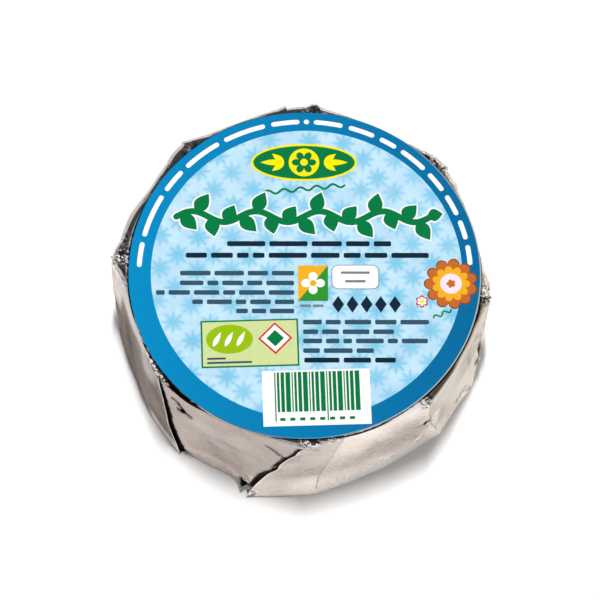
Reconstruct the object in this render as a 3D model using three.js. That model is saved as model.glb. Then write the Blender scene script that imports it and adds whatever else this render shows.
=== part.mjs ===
// A small round soft cheese, shut in its foil, with a paper label on top.
// Millimetres, +Z up. The origin is the middle of the base, and the front faces -Y.
import * as THREE from "three";

// The whole pack
const packHeight = 30; // base to the crest of the foil's rim
const labelSeat = 29.5; // flat top of the foil, which the label lies on
const rimRound = 1.0; // width of the rounding round the foil's top edge
const footRound = 1.3; // and round its base
const wallBulge = 0.45; // how far the wall stands out at half height

// The label
const labelRadius = 34.2;
const labelThickness = 0.25;
const labelGap = 0.2; // from its edge to the foil's rising rim
const fullRimRoom = 1.4; // beside the label's edge, for the rim to stand up to its full height
const labelCentre = new THREE.Vector2(0.43, 0.75);

// The corners that the folded foil makes, going round. Each has its direction in degrees from +X
// and its reach from the axis, at the rim and at the foot, and the bow of the wall that follows it,
// at the rim and at the foot. At a lap the wall on one side lies over the other, which is set in
// by the step: lap is 1 where the wall after the corner is on top, -1 where the wall before it is,
// and 0 at a plain ridge.
const corners = [
  { rim: [218.1, 34.5], foot: [229.2, 35.3], bow: [2.6, 0.1], lap: -1, step: [0.3, 0.7] },
  { rim: [272.1, 35.0], foot: [254.4, 36.4], bow: [0.1, 0.4], lap: 1, step: [0.4, 2.4] },
  { rim: [285.0, 34.2], foot: [276.0, 34.7], bow: [0.4, 1.3], lap: 0, step: [0.0, 0.0] },
  { rim: [314.0, 35.8], foot: [323.3, 34.9], bow: [1.3, 0.0], lap: 1, step: [0.15, 0.25] },
  { rim: [356.0, 36.2], foot: [343.0, 36.1], bow: [1.3, 3.2], lap: -1, step: [0.2, 0.3] },
  { rim: [401.0, 36.9], foot: [401.0, 36.2], bow: [1.6, 1.6], lap: 1, step: [0.2, 0.5] },
  { rim: [447.5, 36.9], foot: [447.5, 36.2], bow: [0.0, 0.0], lap: 0, step: [0.0, 0.0] },
  { rim: [456.8, 36.9], foot: [456.8, 36.2], bow: [0.3, 0.3], lap: 1, step: [0.2, 0.5] },
  { rim: [491.5, 37.2], foot: [491.5, 36.4], bow: [0.4, 1.2], lap: -1, step: [0.2, 0.5] },
  { rim: [534.9, 37.1], foot: [542.0, 36.5], bow: [0.5, 2.2], lap: 1, step: [0.2, 0.3] },
];

// The folds, which run down the wall at the laps and on under the base
const lapSpread = 1.0; // degrees between the two edges of a fold, for each millimetre of its step
const slitDepth = 0.8; // the under layer dips this deep at a fold with a full step
const slitWidth = 0.9;
const lipHeight = 0.4; // the free edge of the upper layer stands out this far there
const lipWidth = 2.5;
const underfoldDepth = 0.45; // height of the fold lines in the underside
const underfoldWidth = 1.1;
const baseFlatRadius = 10; // they stop here, round the plain middle of the base
const underfoldTwist = THREE.MathUtils.degToRad(24);

// Dents in the wall
const dentDepth = 0.15;

// Fineness of the mesh
const stepsPerWall = 13;
const wallLevels = 8;
const roundingSteps = 3;
const baseRings = 4;

const { lerp, degToRad, smoothstep } = THREE.MathUtils;
const axis = new THREE.Vector2();

// Rises from 0 to 1 in the middle of a share and falls back to 0
function hump(share) {
  return 4 * share * (1 - share);
}

// How far the under layer of a corner is set in, at height share t from foot (0) to rim (1)
function stepAt(corner, t) {
  return lerp(corner.step[1], corner.step[0], t);
}

// One end of a wall. Side is 1 for the wall that starts at this corner and -1 for the wall that
// ends there.
function wallEnd(corner, side, t) {
  const step = corner.lap === -side ? stepAt(corner, t) : 0;
  const angle = lerp(corner.foot[0], corner.rim[0], t) + side * lapSpread * step;
  const reach = lerp(corner.foot[1], corner.rim[1], t) - step;
  return new THREE.Vector2(reach, 0).rotateAround(axis, degToRad(angle));
}

// How far the foil stands out beside a fold or dips into it, at a distance from the wall's end
function foldRelief(corner, side, distance, t) {
  const fullness = Math.min(1, stepAt(corner, t));
  if (corner.lap === side) {
    return fullness * lipHeight * Math.exp(-distance / lipWidth);
  }
  return -fullness * slitDepth * Math.exp(-distance / slitWidth);
}

// Shallow dents, from three waves that don't repeat together
function dents(angle, t) {
  const wave = Math.sin(5 * angle + 7 * t) + Math.sin(13 * angle - 5 * t + 1.3);
  return (dentDepth * (wave + Math.sin(29 * angle + 11 * t + 0.4))) / 3;
}

// The foil's outline at height share t, for one column of the mesh
function outlinePoint(column, t) {
  const start = wallEnd(column.from, 1, t);
  const end = wallEnd(column.to, -1, t);
  end.rotateAround(axis, column.closing);
  const chord = end.clone().sub(start);
  const length = chord.length();
  const outward = new THREE.Vector2(chord.y, -chord.x).divideScalar(length);
  const u = column.along;
  const bow = lerp(column.from.bow[1], column.from.bow[0], t) * hump(u);
  const point = start.lerp(end, u).addScaledVector(outward, bow);
  const relief =
    foldRelief(column.from, 1, u * length, t) +
    foldRelief(column.to, -1, (1 - u) * length, t) +
    wallBulge * hump(t) +
    dents(Math.atan2(point.y, point.x), t) * Math.sin(Math.PI * u);
  return point.addScaledVector(outward, relief);
}

// Columns of the mesh, closer together near the folds. The last wall ends at the first corner,
// one turn on. At a plain ridge the two walls share a column.
function makeColumns() {
  const columns = [];
  corners.forEach((from, k) => {
    const last = k === corners.length - 1;
    const to = last ? corners[0] : corners[k + 1];
    const closing = last ? 2 * Math.PI : 0;
    for (let i = from.lap === 0 ? 1 : 0; i <= stepsPerWall; i++) {
      const along = (1 - Math.cos((Math.PI * i) / stepsPerWall)) / 2;
      columns.push({ from, to, closing, along });
    }
  });
  return columns;
}

// Draws a point of the outline in towards the axis
function inset(point, distance) {
  return point.clone().multiplyScalar(1 - distance / point.length());
}

// Reach of the label's edge from the axis, in the direction of a point
function labelReach(point) {
  const along = labelCentre.dot(point) / point.length();
  return along + Math.sqrt(labelRadius ** 2 - labelCentre.lengthSq() + along ** 2);
}

// The rim stands up to its full height where the label's edge leaves it room
function rimCrest(point) {
  const room = point.length() - rimRound - labelReach(point);
  return lerp(labelSeat, packHeight, smoothstep(room, 2 * labelGap, fullRimRoom));
}

// Edge of the flat top, just outside the label where there is room
function seatEdge(point) {
  const reach = Math.min(point.length() - rimRound - labelGap, labelReach(point) + labelGap);
  return inset(point, point.length() - reach);
}

// Height of the fold lines in the underside, highest at the edge of the under layer
function underfold(column, wallLength) {
  const { from, to, along } = column;
  const start = from.lap === -1 ? Math.exp((-along * wallLength) / underfoldWidth) : 0;
  const end = to.lap === 1 ? Math.exp(((along - 1) * wallLength) / underfoldWidth) : 0;
  return underfoldDepth * Math.max(start, end);
}

// One column from the top of the foil, over the rim, down the wall and in under the base
function columnPoints(column) {
  const points = [];
  const place = (flat, z) => points.push(new THREE.Vector3(flat.x, flat.y, z));
  const rim = outlinePoint(column, 1);
  const foot = outlinePoint(column, 0);
  const crest = rimCrest(rim);

  place(seatEdge(rim), labelSeat);
  for (let i = 0; i <= roundingSteps; i++) {
    const turn = (Math.PI / 2) * (i / roundingSteps);
    place(inset(rim, rimRound * (1 - Math.sin(turn))), crest - rimRound * (1 - Math.cos(turn)));
  }
  const top = crest - rimRound;
  for (let i = 1; i < wallLevels; i++) {
    const t = 1 - i / wallLevels;
    place(outlinePoint(column, t), lerp(footRound, top, t));
  }
  for (let i = 0; i <= roundingSteps; i++) {
    const turn = (Math.PI / 2) * (i / roundingSteps);
    place(inset(foot, footRound * (1 - Math.cos(turn))), footRound * (1 - Math.sin(turn)));
  }
  const footEdge = inset(foot, footRound);
  for (let i = 1; i <= baseRings; i++) {
    const share = i / baseRings;
    const reach = lerp(footEdge.length(), baseFlatRadius, share);
    const point = footEdge.clone().setLength(reach).rotateAround(axis, -underfoldTwist * share);
    place(point, i < baseRings ? underfold(column, reach * (1 - share)) : 0);
  }
  return points;
}

// Joins the columns into one closed skin, with a fan on top and one in the middle of the base
function makeFoilGeometry() {
  const columns = makeColumns().map(columnPoints);
  const rows = columns[0].length;
  const positions = columns.flat().flatMap((point) => point.toArray());
  const topMiddle = columns.length * rows;
  const baseMiddle = topMiddle + 1;
  positions.push(0, 0, labelSeat, 0, 0, 0);

  const faces = [];
  columns.forEach((_, i) => {
    const here = i * rows;
    const next = ((i + 1) % columns.length) * rows;
    faces.push(topMiddle, here, next);
    for (let row = 0; row < rows - 1; row++) {
      faces.push(here + row, here + row + 1, next + row + 1);
      faces.push(here + row, next + row + 1, next + row);
    }
    faces.push(baseMiddle, next + rows - 1, here + rows - 1);
  });

  const geometry = new THREE.BufferGeometry();
  geometry.setAttribute("position", new THREE.Float32BufferAttribute(positions, 3));
  geometry.setIndex(faces);
  geometry.computeVertexNormals();
  return geometry;
}

// Foil wrap
function makeFoilWrap() {
  const material = new THREE.MeshStandardMaterial({
    color: 0xc9c0b8,
    roughness: 0.28,
    metalness: 1,
  });
  const mesh = new THREE.Mesh(makeFoilGeometry(), material);
  mesh.name = "foil_wrap";
  return mesh;
}

// Paper label, flat on top of the foil
function makeLabel() {
  const geometry = new THREE.CylinderGeometry(labelRadius, labelRadius, labelThickness, 120);
  geometry.rotateX(Math.PI / 2);
  const material = new THREE.MeshStandardMaterial({
    color: 0x4f9fce,
    roughness: 0.6,
    metalness: 0,
  });
  const mesh = new THREE.Mesh(geometry, material);
  mesh.name = "paper_label";
  mesh.position.set(labelCentre.x, labelCentre.y, labelSeat + labelThickness / 2);
  return mesh;
}

// The folds make the outline uneven, so the pack is moved to put the middle of its box on the axis
const pack = new THREE.Group();
pack.add(makeFoilWrap(), makeLabel());
const middle = new THREE.Box3().setFromObject(pack).getCenter(new THREE.Vector3());
pack.position.set(-middle.x, -middle.y, 0);

const group = new THREE.Group();
group.add(pack);

export default group;
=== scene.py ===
# Looks of a small round soft cheese, shut in folded foil, with a printed paper label on top.
# Lengths are in millimetres until a mesh is made, which turns them into metres.
from math import atan2, ceil, cos, degrees, exp, hypot, log1p, pi, radians, sin, sqrt

import bmesh
import bpy
import numpy as np
from mathutils import Matrix, Vector


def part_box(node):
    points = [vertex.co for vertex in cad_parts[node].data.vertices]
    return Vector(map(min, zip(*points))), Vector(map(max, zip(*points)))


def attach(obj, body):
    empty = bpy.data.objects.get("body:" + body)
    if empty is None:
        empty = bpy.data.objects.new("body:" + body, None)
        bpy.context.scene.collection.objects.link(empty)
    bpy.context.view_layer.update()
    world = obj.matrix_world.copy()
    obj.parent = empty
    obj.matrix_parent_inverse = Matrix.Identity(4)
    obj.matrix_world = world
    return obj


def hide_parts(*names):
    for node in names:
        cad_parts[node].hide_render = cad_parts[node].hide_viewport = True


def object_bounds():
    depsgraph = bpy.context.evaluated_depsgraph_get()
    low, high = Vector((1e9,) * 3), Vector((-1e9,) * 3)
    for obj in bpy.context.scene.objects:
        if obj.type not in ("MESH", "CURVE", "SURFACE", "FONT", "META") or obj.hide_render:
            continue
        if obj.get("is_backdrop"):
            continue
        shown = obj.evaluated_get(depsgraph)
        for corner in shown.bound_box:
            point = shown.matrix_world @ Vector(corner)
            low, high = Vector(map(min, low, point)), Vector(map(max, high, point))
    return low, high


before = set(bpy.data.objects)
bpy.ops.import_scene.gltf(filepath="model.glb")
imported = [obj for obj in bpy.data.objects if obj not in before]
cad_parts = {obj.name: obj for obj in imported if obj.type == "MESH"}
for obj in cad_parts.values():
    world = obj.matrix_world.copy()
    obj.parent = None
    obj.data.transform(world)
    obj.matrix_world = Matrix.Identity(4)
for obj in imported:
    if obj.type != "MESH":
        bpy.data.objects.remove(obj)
cad_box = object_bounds()

METRES = 0.001
LABEL_LOW, LABEL_HIGH = (np.array(corner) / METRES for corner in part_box("paper_label"))
LABEL_CENTRE = (LABEL_LOW + LABEL_HIGH)[:2] / 2

# The photograph's view
PICTURE_SIDE = 600
CAMERA_ELEVATION = radians(68)
CAMERA_ROLL = radians(1.8)
CAMERA_DISTANCE = 700
AIM = Vector((0.17, -5.45, 30.0))
FOCAL_PIXELS = 3623.2
SENSOR = 36.0


def srgb(red, green, blue):
    """A colour as read off a screen, as the linear values that shaders take"""
    parts = [part / 255 for part in (red, green, blue)]
    return tuple(p / 12.92 if p <= 0.04045 else ((p + 0.055) / 1.055) ** 2.4 for p in parts)


def smooth_step(value, low, high):
    share = np.clip((value - low) / (high - low), 0, 1)
    return share * share * (3 - 2 * share)


def plateau(value, start, full, fading, end):
    """From 0 up to 1 and down again"""
    return smooth_step(value, start, full) * (1 - smooth_step(value, fading, end))


def mix(low, high, share):
    return low + (high - low) * share


def hump(share):
    return 4 * share * (1 - share)


def wrap_degrees(angle):
    return (angle + 180) % 360 - 180


def degrees_of(flat):
    return np.degrees(np.arctan2(flat[:, 1], flat[:, 0]))


def bell(angle, direction, spread, power=2):
    """From 1 at a direction in degrees to 0 away from it"""
    return np.exp(-(wrap_degrees(angle - direction) / spread) ** power)


def polar(reach, turn, u=0.0, v=0.0):
    return u + reach * cos(turn), v + reach * sin(turn)


def add_object(name, data, place=Matrix()):
    made = bpy.data.objects.new(name, data)
    made.matrix_world = place
    bpy.context.scene.collection.objects.link(made)
    return made


# Camera

def add_camera():
    data = bpy.data.cameras.new("camera")
    data.sensor_width = SENSOR
    data.lens = FOCAL_PIXELS * SENSOR / PICTURE_SIDE
    data.clip_start, data.clip_end = 0.05, 20
    tilt = Matrix.Rotation(pi / 2 - CAMERA_ELEVATION, 4, "X")
    roll = Matrix.Rotation(CAMERA_ROLL, 4, "Z")
    back = Matrix.Translation((0, 0, CAMERA_DISTANCE * METRES))
    place = Matrix.Translation(AIM * METRES) @ tilt @ roll @ back
    bpy.context.scene.camera = add_object("camera", data, place)


# Shader nodes

def rgba(colour):
    return (*colour, 1) if isinstance(colour, tuple) else colour


class Shader:
    """A material's or a world's nodes. Each call adds one, with its inputs set or joined."""

    def __init__(self, name, kind="materials"):
        self.owner = getattr(bpy.data, kind).new(name)
        self.owner.use_nodes = True
        self.tree = self.owner.node_tree
        self.tree.nodes.clear()

    def node(self, kind, inputs=(), **settings):
        made = self.tree.nodes.new("ShaderNode" + kind)
        for key, value in settings.items():
            setattr(made, key, value)
        for key, value in dict(inputs).items():
            if isinstance(value, bpy.types.NodeSocket):
                self.tree.links.new(value, made.inputs[key])
            else:
                made.inputs[key].default_value = value
        return made

    def math(self, operation, *values):
        return self.node("Math", enumerate(values), operation=operation).outputs[0]

    def times(self, *values):
        return self.math("MULTIPLY", *values)

    def vector(self, operation, *values, output=0, **inputs):
        inputs = {**dict(enumerate(values)), **inputs}
        return self.node("VectorMath", inputs, operation=operation).outputs[output]

    def part(self, vector, axis="X"):
        return self.node("SeparateXYZ", {0: vector}).outputs[axis]

    def blend(self, share, low, high, mode="MIX"):
        """Mixes two colours by a share"""
        inputs = {0: share, 6: rgba(low), 7: rgba(high)}
        return self.node("Mix", inputs, data_type="RGBA", blend_type=mode).outputs[2]

    def spread(self, value, low, high, to_low=0.0, to_high=1.0, kind="SMOOTHSTEP"):
        """Maps the range low to high onto to_low to to_high"""
        inputs = enumerate((value, low, high, to_low, to_high))
        return self.node("MapRange", inputs, interpolation_type=kind).outputs[0]

    def line(self, *values):
        """The same, in a straight line"""
        return self.spread(*values, kind="LINEAR")

    def place(self):
        """The point on the piece, in millimetres"""
        return self.vector("SCALE", self.node("TexCoord").outputs["Object"], Scale=1 / METRES)

    def noise(self, point, size, detail=2.0, roughness=0.5):
        """Noise with features of about this size in millimetres"""
        inputs = {"Vector": point, "Scale": 1 / size, "Detail": detail, "Roughness": roughness}
        return self.node("TexNoise", inputs).outputs["Fac"]

    def bump(self, height, depth, **under):
        """Height from 0 to 1, worth a depth in millimetres"""
        inputs = {"Height": height, "Strength": 1.0, "Distance": depth * METRES, **under}
        return self.node("Bump", inputs).outputs[0]

    def finish(self, **inputs):
        names = {key.replace("_", " "): value for key, value in inputs.items()}
        surface = self.node("BsdfPrincipled", names)
        self.tree.links.new(surface.outputs[0], self.node("OutputMaterial").inputs[0])
        return self.owner


# Foil

# Dim and bright foil: the tone paints the foil between them, as painted light and shade that stand in
# for what it reflects
FOIL_DIM = (0.150, 0.106, 0.086)
FOIL_BRIGHT = (0.98, 0.865, 0.79)
FOIL_WARM = (0.98, 0.865, 0.70)  # on the right
# Painted shade, in folds, creases, beside the label and in dark glint flecks
FOIL_SHADE = (0.006, 0.005, 0.005)
FOIL_COOL = (0.93, 0.90, 0.89)  # near the rim it is greyer, except on the right
FOIL_COOL_DIM = (0.130, 0.120, 0.117)
# Painted highlight, which duller parts and glint flecks are tinted towards
FOIL_PAINTED_HIGHLIGHT = (0.96, 0.95, 0.94)
DIM_EDGE = (0.25, 0.22, 0.2)  # tint of dim foil at grazing angles
WHITE = (1.0, 1.0, 1.0)
FOIL_VALUES = ("tone_and_painted_light", "pocket", "polish", "haze_and_painted_highlight", "painted_glints")


def foil_material():
    """Thin rolled foil. The mesh gives its tone, which paints it between dim and bright foil as
    painted light and shade, its painted shade in folds, creases and beside the label, where it is
    polished, where it is duller and painted pale as a painted highlight, and where painted glints
    fleck it."""
    shader = Shader("foil")
    point = shader.place()
    broad = shader.noise(point, 7, 3)
    fine = shader.noise(point, 1.6, 4, 0.6)
    grain = shader.noise(point, 0.35, 2)
    flecks = shader.noise(point, 0.45, 2, 0.6)
    torn = shader.noise(point, 0.9, 3, 0.6)
    tone_and_painted_light, pocket, polish, haze_and_painted_highlight, painted_glints = (
        shader.node("Attribute", attribute_name=name).outputs["Fac"] for name in FOIL_VALUES)

    # Painted glints: white flecks, duller and paler, as painted highlights, and dark flecks as
    # painted shade
    lit = shader.times(painted_glints, shader.spread(flecks, 0.50, 0.58))
    unlit = shader.times(painted_glints, shader.spread(flecks, 0.42, 0.50, 0.9, 0.0))
    haze_and_painted_highlight = shader.math("MAXIMUM", haze_and_painted_highlight, lit)
    tone_and_painted_light = shader.math("ADD", tone_and_painted_light, shader.line(broad, 0.2, 0.8, -0.05, 0.05))
    tone_and_painted_light = shader.math("ADD", tone_and_painted_light, shader.line(fine, 0.2, 0.8, -0.04, 0.04))
    across = shader.part(point)
    bright = shader.blend(shader.spread(across, 23.0, 33.0), FOIL_BRIGHT, FOIL_WARM)
    cool = shader.times(polish, shader.spread(across, 14.0, 28.0, 0.8, 0.0))
    bright = shader.blend(cool, bright, FOIL_COOL)
    # The tone paints the colour between dim and bright foil: painted light and shade
    colour = shader.blend(tone_and_painted_light, shader.blend(cool, FOIL_DIM, FOIL_COOL_DIM), bright)
    # Duller parts and glint flecks are tinted pale: painted highlights
    colour = shader.blend(shader.times(haze_and_painted_highlight, 0.8), colour, FOIL_PAINTED_HIGHLIGHT)
    # Painted shade in folds, creases and beside the label (pocket), with ragged edges
    ragged = shader.math("ADD", pocket, shader.line(torn, 0.3, 0.7, -0.25, 0.25))
    shade = shader.spread(ragged, 0.15, 0.80)
    colour = shader.blend(shader.math("MAXIMUM", shade, unlit), colour, FOIL_SHADE)

    rough = shader.spread(fine, 0.3, 0.7, 0.24, 0.34)
    rough = shader.times(rough, shader.line(polish, 0.0, 1.0, 1.0, 0.3))
    rough = shader.math("MAXIMUM", rough, shader.times(shade, 0.8))
    rough = shader.math("MAXIMUM", rough, shader.times(haze_and_painted_highlight, 0.5))
    metal = shader.line(haze_and_painted_highlight, 0.0, 1.0, 1.0, 0.15)
    normal = shader.bump(grain, 0.003, Normal=shader.bump(fine, 0.012))
    edge = shader.blend(shader.line(tone_and_painted_light, 0.0, 0.45, 0.0, 1.0), DIM_EDGE, WHITE)
    return shader.finish(Base_Color=colour, Metallic=metal, Roughness=rough, Normal=normal,
                         Specular_Tint=edge)


SEAT_CENTRE = np.array([0.43, 0.75])  # the label's middle in the folds' own frame
PACK_SHIFT = LABEL_CENTRE - SEAT_CENTRE  # from there to the part's frame
PACK_HEIGHT = 30.0
LABEL_SEAT = 29.5
LABEL_RADIUS = 34.2
LABEL_GAP = 0.2
FULL_RIM_ROOM = 1.4
WALL_RADIUS = 36.0

# The rounding of the rim, whose curve is a circle at sharpness 2 and a straight slope at 1
RIM_ROUND = 1.0
RIM_SHARPNESS = 1.5
NARROW_RIM = (324.0, 9.0)  # direction and spread where it is only this share as wide
NARROW_RIM_SHARE = 0.4
BACK_RIM = (143.0, 24.0)  # and where it is straighter
BACK_SHARPNESS = 1.15
FOOT_ROUND = 0.8

# The wall bulges, but in front it draws in by the waist, over a share of its height, and right
# of the fold by the skirt, which spreads over one short slope
WALL_BULGE = 0.12
WAIST, FLARE = 1.4, 0.2
SKIRT, SKIRT_HEIGHT, SKIRT_BEND = 2.0, 0.20, 4.5
FRONT_WALLS = (226, 240, 320, 334)  # the directions where this starts, is full, fades and ends
SKIRT_START = (260, 272)
DENT_DEPTH = 0.15

# At a lap one wall lies over the other, which is set in by the step
LAP_SPREAD = 1.0
SLIT_WIDTH = 0.9
LIP_HEIGHT, LIP_WIDTH = 0.4, 2.5
# A painted highlight of this strength and width lies along each free edge
LIP_LIGHT, LIP_LIGHT_WIDTH = 0.4, 0.35
DRAWN_WIDTH = 5.0
SWELL_WIDTH = 3.5

# It is a real fold: the foil turns back under its free edge and out again
LAYER_THICKNESS = 0.12
POCKET_DEPTH = 2.2
POCKET_END = 0.06
POCKET_TOP = 0.06  # it opens over this share of the height below the rim

# At a fold the layer beneath dips by the slit, swells towards the free edge by a share of the
# step, and is painted in shade over the width of shade, whose ragged share varies. Halo weakens this
# painted shade, and lit_foot its lower end. The free edge is drawn in at half height and runs
# unevenly: each kink has a height share, a spread and a turn in degrees. Narrow brings the edges
# closer at the foot.
PLAIN_FOLD = {"slit": 0.8, "shade": 0.45, "ragged": 0.0, "swell": 0.0, "drawn": 0.0, "halo": 1.0,
              "lit_foot": 0.0, "narrow": 1.0, "kinks": []}
FRONT_FOLDS = {  # by the corner's number, where they differ
    0: {"slit": 0.5, "shade": 0.65, "ragged": 0.6, "swell": 0.75,
        "kinks": [(0.35, 0.20, -0.9), (0.72, 0.05, 0.3)]},
    1: {"slit": 0.35, "shade": 0.70, "ragged": 0.2, "swell": 0.93, "drawn": 0.6, "halo": 0.75,
        "lit_foot": 0.5, "narrow": 0.36, "kinks": [(0.50, 0.10, 1.1), (0.82, 0.08, 0.7)]},
}

# The corners that the folded foil makes, as in the solid: direction in degrees and reach at the
# rim and at the foot, bow of the wall that follows, lap (1 if this wall lies over the one before
# it, -1 if under it) and step, these at the rim and at the foot too
CORNER_ROWS = [
    ((218.1, 34.5), (229.2, 35.3), (2.6, 0.1), -1, (0.3, 0.7)),
    ((272.1, 35), (254.4, 36.4), (0.1, 0.4), 1, (0.4, 2.4)),
    ((285, 34.2), (276, 34.7), (0.4, 1.3), 0, (0, 0)),
    ((314, 35.8), (323.3, 34.9), (1.3, 0), 0, (0, 0)),
    ((356, 36.2), (343, 36.1), (1.3, 3.2), -1, (0.2, 0.3)),
    ((401, 36.9), (401, 36.2), (1.6, 1.6), 1, (0.2, 0.5)),
    ((447.5, 36.9), (447.5, 36.2), (0, 0), 0, (0, 0)),
    ((456.8, 36.9), (456.8, 36.2), (0.3, 0.3), 1, (0.2, 0.5)),
    ((491.5, 37.2), (491.5, 36.4), (0.4, 1.2), -1, (0.2, 0.5)),
    ((534.9, 37.1), (542, 36.5), (0.5, 2.2), 1, (0.2, 0.3)),
]
CORNERS = [
    dict(zip(("rim", "foot", "bow", "lap", "step"), row)) | PLAIN_FOLD | FRONT_FOLDS.get(number, {})
    for number, row in enumerate(CORNER_ROWS)]

# Where the outline stands out from the corners and bows, or in from them: direction, spread in
# degrees, and how far at the rim and at the foot
SWELLS = [
    (161, 8, 0.95, 0.5), (147, 11, 0.55, 0.3), (136, 3, 0.3, 0.2), (88, 1.6, 0.45, 0.2),
    (47, 5, 0.5, 0.3), (35.5, 2, 0.35, 0.2), (359.5, 6, 0.75, 0.3), (345, 8, 0, -0.3),
    (199, 9, 0, -0.7), (185, 8, -0.3, -0.3), (176, 5, 0.35, 0.45), (323.3, 3, 0, 0.3),
    (329, 5, 0, 0.2), (341, 3, 0, 0.4), (347.5, 1.6, 0.05, 0.25),
]
PLEAT_TIP = (252.9, 0.9, 0.9, 0.12)  # as above, but at the foot alone, up to a height share

# The foil sinks beside the label's edge and is painted in shade there: middle and width beyond
# the edge, depth and strength of the painted shade, and the same where the label bridges this
# groove, after a direction and spread
GROOVE = (0.04, 0.11, 0.30, 1.0)
BRIDGES = [
    (229.5, 6.5, 0.50, 1.00, 1.40, 1.0), (350.5, 4.0, 0.22, 0.19, 0.35, 0.75),
    (252.0, 15.0, 0.04, 0.06, 0.05, 0.3),
]
# Under the first bridge the wall's top is drawn in and painted in shade
BRIDGE_BELOW = (227.5, 8.5)  # direction and spread on the wall under the first bridge
BRIDGE_HOLLOW = 0.5  # the wall's top is drawn in there, down to between these two depths
BRIDGE_DROP = (0.5, 1.8)

# The folds run on under the base
UNDERFOLD_DEPTH, UNDERFOLD_WIDTH = 0.45, 1.1
UNDERFOLD_TWIST = radians(24)
BASE_FLAT_RADIUS = 10

# Fineness of the foil's mesh
COLUMN_SPACING = 0.325
COLUMN_CROWDING = 0.55  # towards the corners
POCKET_COLUMNS = 5
SEAT_ROWS = 9
SEAT_WIDTH = 1.5
RIM_ROWS = 13
WALL_ROWS = 58
WALL_CROWDING = 1.2  # towards the rim
FOOT_ROWS = 8
BASE_ROWS = 14


class Columns:
    """The foil mesh's columns, going round. Wall is the corner that the column's wall starts at,
    along its share of the wall, and layer 0 on the outside of the foil, 1 on the inner face of a
    free edge and 2 on the layer beneath. Tuck says how far into a pocket it is, as a signed share
    of the pocket's depth, at the start (1) or the end (-1) of the wall."""

    def __init__(self):
        rows = []
        for k, corner in enumerate(CORNERS):
            if corner["lap"] == 1:
                rows += self.pocket_columns(k, 1)
            rows += self.wall_columns(k)
            if CORNERS[(k + 1) % len(CORNERS)]["lap"] == -1:
                rows += self.pocket_columns(k, -1)
        self.wall, self.along, self.layer, self.tuck = (np.array(part) for part in zip(*rows))
        following = (self.wall + 1) % len(CORNERS)
        self.first = self.corner_values(self.wall, 0.0)
        self.last = self.corner_values(following, np.where(following == 0, 360.0, 0.0))

    @staticmethod
    def wall_columns(k):
        corner, following = CORNERS[k], CORNERS[(k + 1) % len(CORNERS)]
        turn = (following["rim"][0] - corner["rim"][0]) % 360
        steps = ceil(radians(turn) * corner["rim"][1] / COLUMN_SPACING)
        first = 1 if corner["lap"] == 0 else 0
        shares = [i / steps for i in range(first, steps + 1)]
        return [(k, mix(s, (1 - cos(pi * s)) / 2, COLUMN_CROWDING), 0, 0.0) for s in shares]

    @staticmethod
    def pocket_columns(k, side):
        """From the layer beneath, in to the fold and out to the free edge, or the other way"""
        depths = [i / POCKET_COLUMNS for i in range(POCKET_COLUMNS + 1)]
        end = 0.0 if side == 1 else 1.0
        beneath = [(k, end, 2, side * d) for d in depths]
        above = [(k, end, 1, side * d) for d in reversed(depths)]
        return (beneath + above)[::side]

    @staticmethod
    def corner_values(index, turns):
        keys = [key for key in CORNERS[0] if key != "kinks"]
        values = {key: np.array([CORNERS[i][key] for i in index]) for key in keys}
        values["index"] = index
        values["rim"][:, 0] += turns
        values["foot"][:, 0] += turns
        return values


def kink(corner, t):
    """How far a corner turns from its straight run, in degrees"""
    return sum(turn * max(0, 1 - abs(t - place) / spread) for place, spread, turn in corner["kinks"])


def wall_end(corner, side, t):
    """One end of each column's wall, at height share t, and the step there"""
    step = mix(corner["step"][:, 1], corner["step"][:, 0], t)
    beneath = np.where(corner["lap"] == -side, step, 0)
    kinks = np.array([kink(each, t) for each in CORNERS])[corner["index"]]
    turn, reach = mix(corner["foot"], corner["rim"], t).T
    spread = LAP_SPREAD * mix(corner["narrow"], 1.0, smooth_step(t, 0.0, 0.35))
    angle = np.radians(turn + kinks + side * spread * beneath)
    reach = reach - beneath
    return np.stack([reach * np.cos(angle), reach * np.sin(angle)], 1), step


def swelling(corner, step, t):
    """How far the layer beneath a lap comes out towards the free edge"""
    return corner["swell"] * step * smooth_step(t, 0.0, 0.09)


def fold_darkness(corner, step, t):
    """Strength of the painted shade under a lap, from 0 to 1"""
    lit_foot = corner["lit_foot"] * (1 - smooth_step(t, 0.02, 0.12))
    return smooth_step(step, 0.18, 0.45) * (1 - lit_foot)


def fold_marks(corner, side, distance, step, t):
    """Relief, painted shade and painted highlight at a distance from a lap. Its free edge stands out
    and gets a painted highlight, and the layer beneath dips and is painted in shade beside it."""
    fullness = np.minimum(1, step)
    lip = fullness * LIP_HEIGHT * np.exp(-distance / LIP_WIDTH)
    lip = lip - corner["drawn"] * hump(t) * np.exp(-(distance / DRAWN_WIDTH) ** 2)
    slit = -fullness * corner["slit"] * np.exp(-distance / SLIT_WIDTH)
    slit = slit + swelling(corner, step, t) * np.exp(-(distance / SWELL_WIDTH) ** 2)
    wander = triangle_wave(4.3 * t + 0.1) + triangle_wave(9.7 * t + 0.4) - 1
    width = corner["shade"] * (1 + corner["ragged"] * wander)
    width = width * mix(corner["narrow"], 1.0, smooth_step(t, 0.0, 0.45))
    shade = corner["halo"] * fold_darkness(corner, step, t) * np.exp(-(distance / width) ** 2)
    light = smooth_step(step, 0.1, 0.4) * np.exp(-(distance / LIP_LIGHT_WIDTH) ** 2)
    free, beneath = corner["lap"] == side, corner["lap"] == -side
    relief = np.where(free, lip, np.where(beneath, slit, 0))
    return relief, np.where(beneath, shade, 0), np.where(free, light, 0)


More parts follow.
